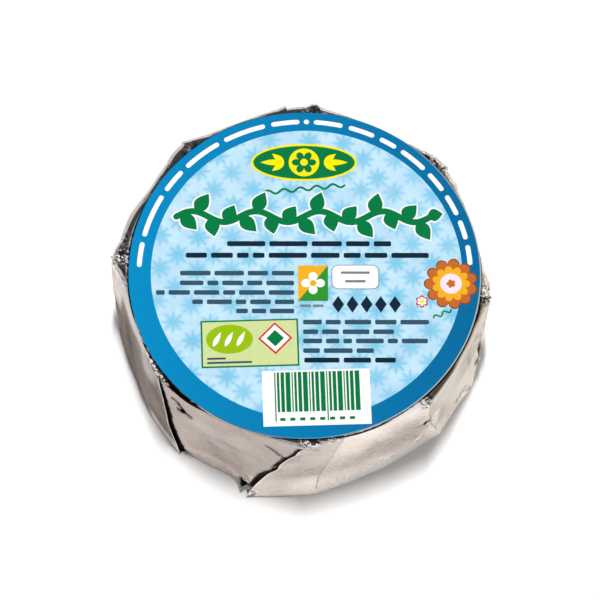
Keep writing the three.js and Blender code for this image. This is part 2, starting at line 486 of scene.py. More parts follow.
def wall_profile(turn, t):
    front = plateau(turn % 360, *FRONT_WALLS)
    waist = -WAIST * (1 - exp(-t / FLARE)) * (1 - t)
    slope = 1 - log1p(exp(SKIRT_BEND * (1 - t / SKIRT_HEIGHT))) / SKIRT_BEND
    skirt = -SKIRT * slope * (1 - t)
    drawn_in = mix(waist, skirt, smooth_step(turn % 360, *SKIRT_START))
    return mix(WALL_BULGE * hump(t), drawn_in, front)


def swells(turn, t):
    total = sum(mix(at_foot, at_rim, t) * bell(turn, direction, spread)
                for direction, spread, at_rim, at_foot in SWELLS)
    direction, spread, out, share = PLEAT_TIP
    return total + out * exp(-(t / share) ** 2) * bell(turn, direction, spread)


def dents(angle, t):
    wave = np.sin(5 * angle + 7 * t) + np.sin(13 * angle - 5 * t + 1.3)
    return DENT_DEPTH * (wave + np.sin(29 * angle + 11 * t + 0.4)) / 3


def outline(columns, t, opening):
    """The foil's outline at height share t, from foot (0) to rim (1): its points, outward
    directions, painted shade, and painted highlight on the free edges. Opening is 1 where the pockets
    under the laps are open and 0 where they are closed."""
    first, last = columns.first, columns.last
    start, start_step = wall_end(first, 1, t)
    end, end_step = wall_end(last, -1, t)
    chord = end - start
    length = np.linalg.norm(chord, axis=1)
    outward = np.stack([chord[:, 1], -chord[:, 0]], 1) / length[:, None]

    in_start = (columns.layer > 0) & (columns.along == 0)
    own = {key: np.where(in_start, first[key], last[key])
           for key in ("slit", "swell", "drawn", "lit_foot")}
    step = np.where(in_start, start_step, end_step)
    fullness = np.minimum(1, step)
    u = columns.along + columns.tuck * POCKET_DEPTH * fullness * opening / length
    bow = mix(first["bow"][:, 1], first["bow"][:, 0], t) * hump(u)
    point = start + chord * u[:, None] + outward * bow[:, None]
    angle = np.arctan2(point[:, 1], point[:, 0])
    turn = np.degrees(angle)
    reliefs, shades, lights = zip(fold_marks(first, 1, u * length, start_step, t),
                                  fold_marks(last, -1, (1 - u) * length, end_step, t))
    relief = sum(reliefs) + wall_profile(turn, t) + swells(turn, t) + dents(angle, t) * np.sin(pi * u)

    mouth = step + (own["slit"] + LIP_HEIGHT) * fullness
    mouth = mouth - (swelling(own, step, t) + own["drawn"] * hump(t))
    near = 1 - np.abs(columns.tuck)
    gap = mix(POCKET_END, np.maximum(mouth - LAYER_THICKNESS, POCKET_END), near)
    inward = np.choose(columns.layer, [0.0, LAYER_THICKNESS, LAYER_THICKNESS + gap])
    moved = point + outward * (relief - inward * opening)[:, None]
    folded = fold_darkness(own, step, t)
    inside = np.where(np.abs(columns.tuck) > 0.01, folded, 0)
    shade = np.choose(columns.layer, [np.maximum(*shades), inside, folded])
    light = np.where(columns.layer == 0, np.maximum(*lights), 0)
    return moved, outward, shade * opening, light * opening


def inset(points, distance):
    reach = np.linalg.norm(points, axis=1)
    return points * (1 - distance / reach)[:, None]


def label_reach(points):
    """Reach of the label's edge from the pack's own axis, in the direction of each point"""
    along = points @ SEAT_CENTRE / np.linalg.norm(points, axis=1)
    return along + np.sqrt(LABEL_RADIUS ** 2 - SEAT_CENTRE @ SEAT_CENTRE + along ** 2)


def near_direction(flat, direction, spread):
    return bell(degrees_of(flat), direction, spread, 4)


def label_groove(flat):
    """Depth and painted shade of the foil's dip beside the label's edge"""
    beyond = np.linalg.norm(flat, axis=1) - label_reach(flat)
    values = GROOVE
    for direction, spread, *there in BRIDGES:
        bridge = near_direction(flat, direction, spread)
        values = [mix(value, wanted, bridge) for value, wanted in zip(values, there)]
    place, width, depth, darkness = values
    share = np.exp(-((beyond - place) / width) ** 4)
    return depth * share, darkness * share


def underfold(columns, wall_length):
    """Height of the fold lines in the underside"""
    start = np.exp(-columns.along * wall_length / UNDERFOLD_WIDTH) * (columns.first["lap"] == -1)
    end = np.exp((columns.along - 1) * wall_length / UNDERFOLD_WIDTH) * (columns.last["lap"] == 1)
    return UNDERFOLD_DEPTH * np.maximum(start, end)


def foil_rows(columns):
    """Rows of the foil mesh, from the flat top under the label down to the middle of the base:
    points, directions for the small relief, painted shade, and painted highlight on the free edges"""
    rows = []

    def add(flat, z, outward, rise, shade=0.0, light=0.0):
        """Rise is the angle of the surface's direction above the level"""
        count = len(flat)
        direction = np.column_stack([outward * cos(rise), np.full(count, sin(rise))])
        z, shade, light = (np.broadcast_to(value, count) for value in (z, shade, light))
        rows.append((np.column_stack([flat, z]), direction, shade, light))

    rim, rim_out, *_ = outline(columns, 1.0, 0.0)
    foot, foot_out, *_ = outline(columns, 0.0, 0.0)
    reach = np.linalg.norm(rim, axis=1)
    rounding = mix(RIM_ROUND, RIM_ROUND * NARROW_RIM_SHARE, near_direction(rim, *NARROW_RIM))
    power = 2 / mix(RIM_SHARPNESS, BACK_SHARPNESS, near_direction(rim, *BACK_RIM))
    room = reach - RIM_ROUND - label_reach(rim)
    crest = mix(LABEL_SEAT, PACK_HEIGHT, smooth_step(room, 2 * LABEL_GAP, FULL_RIM_ROOM))

    edge = np.minimum(reach - rounding - LABEL_GAP, label_reach(rim) + LABEL_GAP)
    under = np.minimum(edge, label_reach(rim)) - SEAT_WIDTH
    for i in range(SEAT_ROWS):
        flat = inset(rim, reach - mix(under, edge, i / (SEAT_ROWS - 1)))
        dip, shade = label_groove(flat)
        add(flat, LABEL_SEAT - dip, rim_out, pi / 2, shade)
    for i in range(RIM_ROWS + 1):
        turn = pi / 2 * i / RIM_ROWS
        out, up = (max(part, 0) ** power for part in (sin(turn), cos(turn)))
        flat = inset(rim, rounding * (1 - out))
        dip, shade = label_groove(flat)
        add(flat, crest - rounding * (1 - up) - dip, rim_out, pi / 2 - turn, shade)
    top = crest - rounding
    for i in range(1, WALL_ROWS + 1):
        t = 1 - (i / WALL_ROWS) ** WALL_CROWDING
        opening = float(smooth_step(1 - t, 0.0, POCKET_TOP))
        flat, out, shade, light = outline(columns, t, opening)
        z = mix(FOOT_ROUND, top, t)
        # Where the label bridges the groove, the wall's top is drawn in and painted in shade
        below = 1 - smooth_step(top - z, *BRIDGE_DROP)
        hollow = near_direction(flat, *BRIDGE_BELOW) * below
        flat = inset(flat, BRIDGE_HOLLOW * hollow)
        add(flat, z, out, 0.0, np.maximum(shade, smooth_step(hollow, 0.1, 0.5)), light)
    for i in range(1, FOOT_ROWS + 1):
        turn = pi / 2 * i / FOOT_ROWS
        flat, out, shade, light = outline(columns, 0.0, 1 - i / FOOT_ROWS)
        flat = inset(flat, FOOT_ROUND * (1 - cos(turn)))
        add(flat, FOOT_ROUND * (1 - sin(turn)), out, -turn, shade, light)
    foot_edge = inset(foot, FOOT_ROUND)
    edge_reach = np.linalg.norm(foot_edge, axis=1)
    for i in range(1, BASE_ROWS + 1):
        share = i / BASE_ROWS
        here = mix(edge_reach, BASE_FLAT_RADIUS, share)
        angle = np.arctan2(foot_edge[:, 1], foot_edge[:, 0]) - UNDERFOLD_TWIST * share
        flat = np.stack([here * np.cos(angle), here * np.sin(angle)], 1)
        add(flat, underfold(columns, here * (1 - share)) if i < BASE_ROWS else 0.0, foot_out, -pi / 2)
    return (np.array(part) for part in zip(*rows))


def triangle_wave(value):
    """From 0 to 1 and back, in straight lines"""
    return 2 * np.abs(value - np.floor(value + 0.5))


def random_directions(rng, count):
    raw = rng.normal(size=(count, 3))
    return raw / np.linalg.norm(raw, axis=1)[:, None]


def waves(points, rng, size, count, sizes, shape):
    """The sum of some waves in random directions and of about one size"""
    return sum(shape(points @ direction / (size * rng.uniform(*sizes)) + rng.uniform())
               for direction in random_directions(rng, count))


def undulation(points, rng, size, count=6):
    """Soft swells, from -1 to 1"""
    return waves(points, rng, size, count, (0.8, 1.3), lambda x: np.sin(2 * pi * x)) / count


def crinkle(points, rng, size, count=7):
    """Flat facets that meet in sharp creases, as in crumpled foil, from about -1 to 1"""
    warp = np.stack([undulation(points, rng, size * 3) for _ in range(3)], 1) * size * 0.35
    total = waves(points + warp, rng, size, count, (0.6, 1.5), lambda x: 2 * triangle_wave(x) - 1)
    return total / sqrt(count)


# Where the foil is crumpled, its facets painted lighter and darker as painted light and shade:
# direction in degrees, height, radius of the patch and depth
CRUMPLES = [
    (177, 29.5, 3.6, 0.17), (171, 26, 3, 0.12), (219, 29, 1.6, 0.14), (213, 28, 2, 0.12),
    (273, 29.5, 1.8, 0.15), (279, 29.5, 1.6, 0.12), (316, 13, 2.2, 0.1), (314, 28.5, 1.8, 0.13),
    (340, 3, 2.2, 0.16), (347, 10, 1.8, 0.18), (345, 24, 2, 0.1), (359, 29, 3, 0.14),
    (352, 20, 3.5, 0.12), (254, 2, 2, 0.22), (256, 7, 1.8, 0.08), (401, 28, 5, 0.12),
    (415, 29, 4, 0.08), (447, 29, 3.5, 0.06), (457, 29, 3, 0.05), (491, 29, 3, 0.06),
    (200, 28.8, 2.2, 0.1), (208, 28.8, 2.4, 0.12),
]

# Larger patches of flat facets on the walls behind, in the same way, with fainter painted light and
# shade
FACETS = [
    (45, 12, 9, 0.19), (97, 11, 9, 0.18), (131, 14, 9, 0.2), (172, 14, 7, 0.12),
    (70, 18, 10, 0.17), (150, 18, 9, 0.16), (20, 17, 9, 0.16), (115, 20, 8, 0.14),
]

# Fine sharp crumples with painted glints: facets painted light and dark, with white flecks as
# painted highlights and dark flecks as painted shade: direction, height, half the width, half the
# height and depth
GLINTS = [
    (175.6, 29.3, 2, 1.7, 0.15), (171, 29.3, 3, 1.2, 0.03), (183, 29.3, 3, 1, 0.03),
    (344.2, 11, 0.9, 1.4, 0.12), (205, 28.8, 4, 1, 0.12), (213, 28.9, 3.6, 1, 0.14),
    (220.5, 29, 2, 1.2, 0.13), (274, 29.6, 1.9, 0.9, 0.12), (282, 29.5, 1.3, 0.7, 0.09),
    (314, 28.6, 1.6, 1.5, 0.11), (341, 2.5, 1.4, 1.5, 0.12), (337, 5.5, 1.6, 1.8, 0.07),
    (356, 28.8, 2.3, 1.6, 0.14), (254.4, 2.6, 1.7, 3, 0.2), (45, 29.2, 4.5, 1, 0.07),
    (88, 29.4, 2.6, 0.8, 0.05), (131, 29.2, 1.6, 1, 0.04), (30, 29.2, 3, 0.9, 0.06),
    (199, 29.5, 4, 0.7, 0.07), (335, 7, 2.4, 1.6, 0.08),
]

# Tone of each wall, from 0 (dim) to 1, in the corners' order, painted light and shade that stand in
# for what the wall reflects, then areas of painted light and shade: wall, direction in degrees and
# height of the middle, half the width, half the height and tone
WALL_PAINTED_TONES = [0.38, 0.58, 0.89, 0.47, 0.46, 0.50, 0.42, 0.55, 0.46, 0.16]
PAINTED_LIGHT_AREAS = [
    (9, 191, 9, 8.5, 12, 0.07), (9, 194, 26.6, 15, 3.6, 0.42), (9, 210, 22, 3.2, 4.2, 0.33),
    (9, 181, 24, 2.4, 8, 0.5), (9, 223, 1.5, 6, 2.6, 0.6), (1, 265, 3.5, 11, 4.5, 0.68),
    (1, 275, 3, 5.5, 4.5, 0.99), (0, 243, 1.5, 14, 3, 0.58), (2, 297, 21, 7, 6.5, 0.99),
    (2, 294, 4.5, 20, 5.5, 0.99), (2, 308, 12, 5, 5, 0.93), (2, 311, 18, 3.2, 3.6, 0.74),
    (2, 318.8, 10.4, 0.9, 0.9, 0.03), (2, 316.2, 10.9, 1.6, 0.8, 0.25),
    (3, 321.4, 10, 1.7, 4, 0.97), (0, 251.6, 3.2, 0.9, 1, 0.02), (0, 252.9, 1, 0.7, 0.8, 0.99),
    (2, 309, 29.3, 5.5, 0.9, 0.97), (3, 336, 9, 5, 6, 0.54), (3, 340, 22, 6, 5, 0.38),
    (3, 347.4, 14.5, 0.9, 3.6, 0.05), (3, 346.6, 9.8, 1.2, 1.8, 0.02),
    (4, 348.2, 9.8, 1, 1.8, 0.02), (4, 347, 12, 3, 9, 0.1), (9, 177, 28.6, 2.6, 2.6, 0.75),
    (4, 25, 14, 9, 10, 0.62), (4, 17, 29.7, 14, 1, 0.9), (5, 65, 15, 12, 12, 0.42),
    (7, 120, 12, 8, 10, 0.62), (8, 155, 14, 7, 12, 0.36),
]

# Duller areas, which scatter the light and are painted pale as painted highlights: wall, direction,
# height, half the sides and strength
PAINTED_HIGHLIGHT_HAZES = [
    (2, 309, 29.4, 5.5, 0.8, 0.8), (3, 321.4, 10, 1.6, 3.6, 0.45),
    (0, 252.9, 1, 0.7, 0.8, 0.6), (4, 17, 29.7, 14, 1, 0.4),
]
# Along the front foot the foil is duller and painted pale as a painted highlight
FOOT_EDGE = (320, 44, 1.4, 6, 0.66)  # direction, spread, two heights and strength: dull and pale
FOOT_TONE = 0.97

# Creases in the walls: direction in degrees and height at one end and at the other, then depth
# and width
CREASES = [
    (223.8, 24, 227.6, 23.5, 0.34, 0.26), (226.2, 23.9, 229.8, 21, 0.42, 0.26),
    (226.4, 21.4, 233, 20.9, 0.6, 0.28), (259.2, 24.4, 266.5, 21.2, 0.3, 0.24),
    (274, 25.2, 277.5, 24.2, 0.18, 0.35), (314.5, 3.6, 316.5, 4.4, 0.22, 0.35),
    (311, 27.5, 308, 25.5, 0.1, 0.35), (316.9, 12.6, 320.6, 8, 0.42, 0.32),
    (314.6, 10.2, 318.2, 11, 0.22, 0.4), (319.4, 8.6, 314.2, 4, 0.12, 0.4),
    (320.2, 9.4, 322, 4, 0.12, 0.35), (251.4, 4.6, 255.4, 2, 0.8, 0.5),
    (346.2, 16.5, 348.6, 9.5, 0.3, 0.4), (20, 27, 28, 3, 0.12, 0.5), (58, 28, 49, 6, 0.13, 0.5),
    (74, 26, 84, 10, 0.1, 0.45), (104, 27, 112, 2, 0.13, 0.5), (121, 24, 126, 6, 0.1, 0.45),
    (140, 28, 152, 8, 0.13, 0.5), (160, 27, 166, 6, 0.1, 0.45), (10, 22, 18, 12, 0.1, 0.45),
    (338, 25, 341, 9, 0.05, 0.6), (131.5, 29.62, 152, 29.5, 0.13, 0.12),
    (140, 29.3, 164, 29.62, 0.11, 0.12), (98, 29.55, 128, 29.45, 0.11, 0.12),
    (8, 29.5, 34, 29.55, 0.1, 0.12), (300, 5, 309, 3.4, 0.08, 0.5),
]
# Creases get painted shade in their groove and painted light on their ridge; the dark painted shade
# inside is full in a crease this deep and none in one this faint
DEEP_CREASE = 0.8  # a crease this deep is dark inside, and one this faint isn't
FAINT_CREASE = 0.14
POLISH_HEIGHTS = (27.8, 29.0)  # between these the foil becomes smoother towards the rim
# Painted tone on the rim's outer slope behind: painted light that stands in for what it reflects
RIM_TONE = 0.51  # on the rim's outer slope behind, between these directions
BACK_WALLS = (5, 15, 185, 195)
SEAT_MARGIN = 0.3  # the foil is plain under the label and this far beside it
BASE_HEIGHT, BASE_RELIEF = 0.6, 0.3  # below this height its relief has only this share


def arc_from(angle, direction):
    """Distance round the wall from a direction"""
    return np.radians(wrap_degrees(angle - direction)) * WALL_RADIUS


def crease_shape(angle, height, direction, z, end_direction, end_z, width):
    """A sharp groove along a line in the wall, and a low ridge beside it, each from 0 to 1"""
    arc, rise = arc_from(angle, direction), height - z
    way = arc_from(end_direction, direction), end_z - z
    along = np.clip((arc * way[0] + rise * way[1]) / hypot(*way) ** 2, 0, 1)
    off_arc = arc - along * way[0]
    off_height = rise - along * way[1]
    away = np.hypot(off_arc, off_height)
    fade = np.sqrt(np.clip(hump(along), 0, 1))
    ridge = np.exp(-((away - 2 * width) / width) ** 2)
    return fade * np.exp(-away / width), fade * ridge * (off_arc * way[1] - off_height * way[0] > 0)


def surface_detail(points, walls):
    """How far each point of the foil stands out from the plain folded form, and its tone with painted
    light and shade, its haze with painted highlight, its painted crease shade and its painted glints"""
    rng = np.random.default_rng(12)
    angle = degrees_of(points) % 360
    height = points[:, 2]
    relief = 0.07 * undulation(points, rng, 13) + 0.006 * undulation(points, rng, 5)
    faint = crinkle(points, rng, 6)
    relief += 0.007 * faint
    sharp = crinkle(points, rng, 1.9, 4)
    glint = crinkle(points, rng, 0.8, 4)
    facets = crinkle(points, rng, 6.5, 3)
    ragged = 0.12 * undulation(points, rng, 7) + 0.05 * crinkle(points, rng, 3)
    tone_and_painted_light = np.array(WALL_PAINTED_TONES)[walls] + 0.05 * undulation(points, rng, 15) + 0.012 * faint
    haze_and_painted_highlight, painted_glints, dark = (np.zeros(len(points)) for _ in range(3))

    def area_share(wall, direction, z, half_width, half_height):
        sides = arc_from(angle, direction) / half_width, (height - z) / half_height
        away = sum(np.abs(side) ** 3 for side in sides) ** (1 / 3)
        return (walls == wall) * (1 - smooth_step(away + ragged, 0.55, 1.35))

    for *area, value in PAINTED_LIGHT_AREAS:
        # Areas of painted light and shade
        tone_and_painted_light = mix(tone_and_painted_light, value, area_share(*area))
    for *area, value in PAINTED_HIGHLIGHT_HAZES:
        haze_and_painted_highlight = np.maximum(haze_and_painted_highlight, value * area_share(*area))
    # The front foot is duller and painted pale: painted highlight
    direction, spread, low, high, strength = FOOT_EDGE
    edge = bell(angle, direction, spread, 6) * (1 - smooth_step(height, low, high))
    haze_and_painted_highlight = np.maximum(haze_and_painted_highlight, strength * edge)
    tone_and_painted_light = mix(tone_and_painted_light, FOOT_TONE, edge)
    relief *= 1 - 0.8 * edge
    for patches, shape, contrast in ((CRUMPLES, sharp, 2.2), (FACETS, facets, 0.5)):
        for direction, z, radius, depth in patches:
            patch = np.exp(-(np.hypot(arc_from(angle, direction), height - z) / radius) ** 2)
            relief += depth * patch * shape
            # Facets painted lighter and darker: painted light and shade
            tone_and_painted_light += contrast * depth * patch * shape
    for direction, z, half_width, half_height, depth in GLINTS:
        arc = arc_from(angle, direction)
        patch = np.exp(-((arc / half_width) ** 2 + ((height - z) / half_height) ** 2) ** 1.5)
        relief += depth * patch * glint
        # Painted glints: facets painted light and dark, and flecks
        tone_and_painted_light += 1.2 * patch * np.clip(1.4 * glint, -1, 1)
        there = smooth_step(patch * (0.5 + 0.5 * glint), 0.15, 0.45) * min(1, depth / 0.12)
        painted_glints = np.maximum(painted_glints, there)
    for *line, depth, width in CREASES:
        groove, ridge = crease_shape(angle, height, *line, width)
        share = max(0, depth - FAINT_CREASE) / (DEEP_CREASE - FAINT_CREASE)
        # Painted shade in the groove, and painted light on the ridge
        dark = np.maximum(dark, np.clip(1.8 * groove * share, 0, 1))
        relief += depth * (0.6 * ridge - groove)
        tone_and_painted_light += depth * (0.7 * ridge - 2.0 * groove)
    return relief, np.clip(tone_and_painted_light, 0, 1), haze_and_painted_highlight, dark, painted_glints


def drum_faces(rows, count):
    """Faces between rows of points that go round, and from the first and last row to the two
    middle points that follow them"""
    top, base, last = rows * count, rows * count + 1, (rows - 1) * count
    for i in range(count):
        following = (i + 1) % count
        yield top, i, following
        for here in range(0, last, count):
            yield here + i, here + count + i, here + count + following, here + following
        yield base, last + following, last + i


def make_foil():
    columns = Columns()
    points, directions, shades, lights = foil_rows(columns)
    rows, count = points.shape[:2]
    flat, directions = points.reshape(-1, 3), directions.reshape(-1, 3)
    relief, tone_and_painted_light, haze_and_painted_highlight, dark, painted_glints = surface_detail(flat, np.tile(columns.wall, rows))
    polish = smooth_step(flat[:, 2], *POLISH_HEIGHTS)
    slope = polish * (1 - smooth_step(directions[:, 2], 0.92, 0.995))
    slope *= plateau(degrees_of(flat) % 360, *BACK_WALLS)
    # Painted light on the rim's outer slope behind
    tone_and_painted_light = mix(tone_and_painted_light, RIM_TONE, 0.8 * slope)
    # Painted highlight along the free edges
    tone_and_painted_light = np.clip(tone_and_painted_light + LIP_LIGHT * lights.reshape(-1), 0, 1)
    seated = np.linalg.norm(flat[:, :2] - SEAT_CENTRE, axis=1) < LABEL_RADIUS + SEAT_MARGIN
    top = (flat[:, 2] > LABEL_SEAT - SEAT_MARGIN) & (directions[:, 2] > 0.9)
    relief = np.where(seated & top, 0, relief)
    relief = np.where(flat[:, 2] < BASE_HEIGHT, relief * BASE_RELIEF, relief)
    moved = flat + directions * relief[:, None]
    moved[:, 2] = np.clip(moved[:, 2], 0, PACK_HEIGHT)
    vertices = np.vstack([moved, [[0, 0, LABEL_SEAT], [0, 0, 0]]])
    vertices[:, :2] += PACK_SHIFT

    # Painted shade of the folds, the groove beside the label and the creases
    pocket = np.maximum(shades.reshape(-1), dark)
    middles = ([0.5, 0.5], [0, 0], [1, 0], [0, 0], [0, 0])  # at the top and at the base
    values = {name: np.append(value, ends) for name, value, ends in zip(
        FOIL_VALUES, (tone_and_painted_light, pocket, polish, haze_and_painted_highlight, painted_glints), middles)}
    return finish_mesh("foil", vertices, drum_faces(rows, count), [foil_material()], values=values)


# Paper label

PAPER_TOP = LABEL_HIGH[2]
PAPER_BASE = LABEL_LOW[2]
EDGE_BEVEL = 0.06
DISC_RADIUS = 30.2
DISC_OFFSET = np.array([0.34, 0.05])  # the printed border is a little wider on the left
LABEL_SIDES = 360
LIFTED_EDGES = [(222, 18, 0.12), (324, 14, 0.16)]  # direction, spread in degrees, and height
LIFT_WIDTH = 1.1

GROUND_PALE = srgb(195, 228, 246)
GROUND_MIST = srgb(182, 219, 241)
STAR_HEART = srgb(122, 196, 229)
STAR_SPOKE = srgb(141, 204, 231)
STAR_SPACING = 5.0
STAR_TURN = radians(45)
BORDER_LEFT = srgb(0, 137, 194)
BORDER_RIGHT = srgb(0, 103, 153)
PAPER_EDGE = srgb(168, 178, 184)
PRINT_RADIUS = 34.1  # the blue ink stops here
PRINT_OFFSET = np.array([-0.16, 0.04])


def paper_finish(shader, colour, roughness=0.55):
    """Uncoated print on paper: a faint mottle in the colour and the fibres' grain"""
    point = shader.place()
    mottle = shader.spread(shader.noise(point, 1.1, 3), 0.3, 0.7, 0.905, 0.95)
    tint = shader.node("CombineColor", {0: mottle, 1: mottle, 2: mottle}).outputs[0]
    colour = shader.blend(1.0, colour, tint, "MULTIPLY")
    grain = shader.noise(point, 0.22, 3, 0.6)
    rough = shader.spread(grain, 0.3, 0.7, roughness - 0.06, roughness + 0.06)
    return shader.finish(Base_Color=colour, Roughness=rough, Normal=shader.bump(grain, 0.006),
                         Specular_IOR_Level=0.2)


def ground_material():
    """Pale blue with soft eight-pointed stars in slanted rows"""
    shader = Shader("label_ground")
    point = shader.place()
    turned = shader.node("VectorRotate", {"Vector": point, "Angle": STAR_TURN},
                         rotation_type="Z_AXIS").outputs[0]
    cells = shader.vector("SCALE", turned, Scale=1 / STAR_SPACING)
    star = shader.node("TexVoronoi", {"Vector": cells, "Scale": 1.0, "Randomness": 0.22},
                       voronoi_dimensions="2D").outputs
    away = shader.vector("SUBTRACT", cells, star["Position"])
    angle = shader.math("ARCTAN2", shader.part(away, "Y"), shader.part(away))
    wave = shader.math("ABSOLUTE", shader.math("COSINE", shader.times(angle, 4.0)))
    reach = shader.times(star["Distance"], STAR_SPACING)
    random = shader.node("SeparateColor", {0: star["Color"]}).outputs[0]
    strength = shader.line(random, 0.0, 1.0, 0.65, 1.0)
    ray = shader.math("POWER", wave, shader.line(reach, 0.6, 2.2, 1.2, 5.0))
    ray = shader.times(ray, shader.spread(reach, 1.8, 2.7, 1.0, 0.0))
    spoke = shader.times(ray, strength)
    heart = shader.times(shader.spread(reach, 0.3, 2.3, 0.95, 0.0), strength)
    mist = shader.spread(shader.noise(point, 4, 2), 0.35, 0.65)
    colour = shader.blend(spoke, shader.blend(mist, GROUND_PALE, GROUND_MIST), STAR_SPOKE)
    return paper_finish(shader, shader.blend(heart, colour, STAR_HEART))


def border_material():
    """Strong blue, deeper towards the right, with a sliver of bare paper at its edge there"""
    shader = Shader("label_border")
    point = shader.place()
    share = shader.line(shader.part(point), -33.0, 35.0, 0.0, 1.0)
    away = shader.vector("SUBTRACT", point, (*(LABEL_CENTRE + PRINT_OFFSET), PAPER_TOP))
    reach = shader.vector("LENGTH", away, output="Value")
    bare = shader.spread(reach, PRINT_RADIUS, PRINT_RADIUS + 0.06)
    colour = shader.blend(share, BORDER_LEFT, BORDER_RIGHT)
    return paper_finish(shader, shader.blend(bare, colour, PAPER_EDGE))


def paper_material():
    """The cut edge, pale on the right and painted the border's deeper blue on the left, as painted
    shade under the label's edge
    """
    shader = Shader("label_paper")
    share = shader.spread(shader.part(shader.place()), 8.0, 22.0)
    return paper_finish(shader, shader.blend(share, BORDER_RIGHT, PAPER_EDGE), 0.7)


def paper_lift(points):
    """How far the label's loose edge stands up from the foil"""
    away = points - LABEL_CENTRE
    edge = smooth_step(np.linalg.norm(away, axis=1), LABEL_RADIUS - LIFT_WIDTH, LABEL_RADIUS)
    return edge * sum(lift * bell(degrees_of(away), direction, spread)
                      for direction, spread, lift in LIFTED_EDGES)


def make_label():
    turns = np.arange(LABEL_SIDES) * 2 * pi / LABEL_SIDES
    around = np.stack([np.cos(turns), np.sin(turns)], 1)
    disc = LABEL_CENTRE + DISC_OFFSET
    crest = LABEL_CENTRE + around * (LABEL_RADIUS - EDGE_BEVEL)
    rim = LABEL_CENTRE + around * LABEL_RADIUS
    loops = [(disc + around * DISC_RADIUS * s, PAPER_TOP) for s in (0.2, 0.4, 0.6, 0.8, 1.0)]
    loops += [(mix(loops[4][0], crest, share), PAPER_TOP) for share in (0.25, 0.5, 0.75, 1.0)]
    last_flat = len(loops) - 1
    loops += [(rim, PAPER_TOP - EDGE_BEVEL), (rim, PAPER_BASE + EDGE_BEVEL), (crest, PAPER_BASE),
              (LABEL_CENTRE + around * (LABEL_RADIUS - 3), PAPER_BASE)]

    vertices = [np.column_stack([flat, z + paper_lift(flat)]) for flat, z in loops]
    vertices = np.vstack(vertices + [[[*disc, PAPER_TOP], [*LABEL_CENTRE, PAPER_BASE]]])
    kinds = [0 if row < 5 else 1 if row <= last_flat else 2 for row in range(len(loops) + 1)]
    materials = [ground_material(), border_material(), paper_material()]
    faces = drum_faces(len(loops), LABEL_SIDES)
    return finish_mesh("label_paper", vertices, faces, materials, kinds * LABEL_SIDES, smooth=False)


# Print on the label. Places are in millimetres from the label's middle, u along the print's lines
# and v up.

PRINT_TURN = radians(1.9)
PANEL_TURN = radians(3.6)
INK_STEP = 0.02
INK_STAGGER = 0.002
INK_SINK = 0.01

INKS = {
    "white": (254, 252, 252), "green": (0, 120, 65), "yellow": (252, 234, 10),
    "dark": (16, 40, 56), "slate": (52, 84, 102), "grey": (120, 128, 134),
    "orange": (240, 176, 36), "leaf": (48, 146, 48), "pale_green": (207, 220, 156),
    "bright_green": (150, 190, 14), "red": (214, 44, 44), "brown": (196, 104, 44),
    "deep_brown": (128, 62, 26), "pink": (247, 226, 238),
}
ink_materials = {}


def ink_material(ink):
    if ink not in ink_materials:
        ink_materials[ink] = paper_finish(Shader("ink_" + ink), srgb(*INKS[ink]), 0.5)
    return ink_materials[ink]


def ellipse(u, v, half_width, half_height, sides=72):
    turns = [2 * pi * i / sides for i in range(sides)]
    return [(u + half_width * cos(turn), v + half_height * sin(turn)) for turn in turns]


def circle(u, v, radius):
    return ellipse(u, v, radius, radius, 40)


def plate(u, v, width, height, corner=0.0, sides=5):
    """A rectangle with its corners rounded"""
    ends = [(1, 1), (-1, 1), (-1, -1), (1, -1)]
    if corner <= 0:
        return [(u + side * width / 2, v + end * height / 2) for side, end in ends[2:] + ends[:2]]
    points = []
    for k, (side, end) in enumerate(ends):
        middle = (u + side * (width / 2 - corner), v + end * (height / 2 - corner))
        for i in range(sides + 1):
            turn = pi / 2 * (k + i / sides)
            points.append(polar(corner, turn, *middle))
    return points


def leaf(u, v, length, width, turn, sides=12):
    """A pointed leaf with its stalk end at a point"""
    up = [(length * i / sides, width / 2 * sin(pi * (i / sides) ** 0.8)) for i in range(sides + 1)]
    shape = reversed(up + [(x, -y) for x, y in reversed(up[1:-1])])
    return [(u + x * cos(turn) - y * sin(turn), v + x * sin(turn) + y * cos(turn)) for x, y in shape]


def rosette(u, v, radius, petals, depth, turn=0.0, sides=12):
    """A flower with round petals, whose outline dips by the depth between them"""
    points = []
    for i in range(petals * sides):
        angle = 2 * pi * i / (petals * sides)
        reach = radius - depth * (1 - abs(sin(petals * angle / 2)) ** 0.7)
        points.append(polar(reach, angle + turn, u, v))
    return points


def lozenge(u, v, width, height):
    return [(u + width / 2, v), (u, v + height / 2), (u - width / 2, v), (u, v - height / 2)]


def ribbon(path, width):
    """A line of even width with round ends"""
    path = [np.array(point) for point in path]
    left, right = [], []
    for i, point in enumerate(path):
        way = path[min(i + 1, len(path) - 1)] - path[max(i - 1, 0)]
        side = np.array([-way[1], way[0]]) / hypot(*way) * width / 2
        left.append(point + side)
        right.append(point - side)

    def cap(point, before):
        start = atan2(*(point - before)[::-1]) - pi / 2
        return [polar(width / 2, start + pi * i / 6, *point) for i in range(1, 6)]

    shape = right + cap(path[-1], path[-2]) + left[::-1] + cap(path[0], path[1])
    return [tuple(p) for p in shape]


def wave_path(start, end, height, length, step=0.25):
    """A wave along the straight line between two points"""
    way = np.array(end) - np.array(start)
    total = hypot(*way)
    along, across = way / total, np.array([-way[1], way[0]]) / total
    count = ceil(total / step)
    return [np.array(start) + along * total * i / count
            + across * height * sin(2 * pi * total * i / count / length) for i in range(count + 1)]


def rotation(angle):
    return np.array([[cos(angle), sin(angle)], [-sin(angle), cos(angle)]])


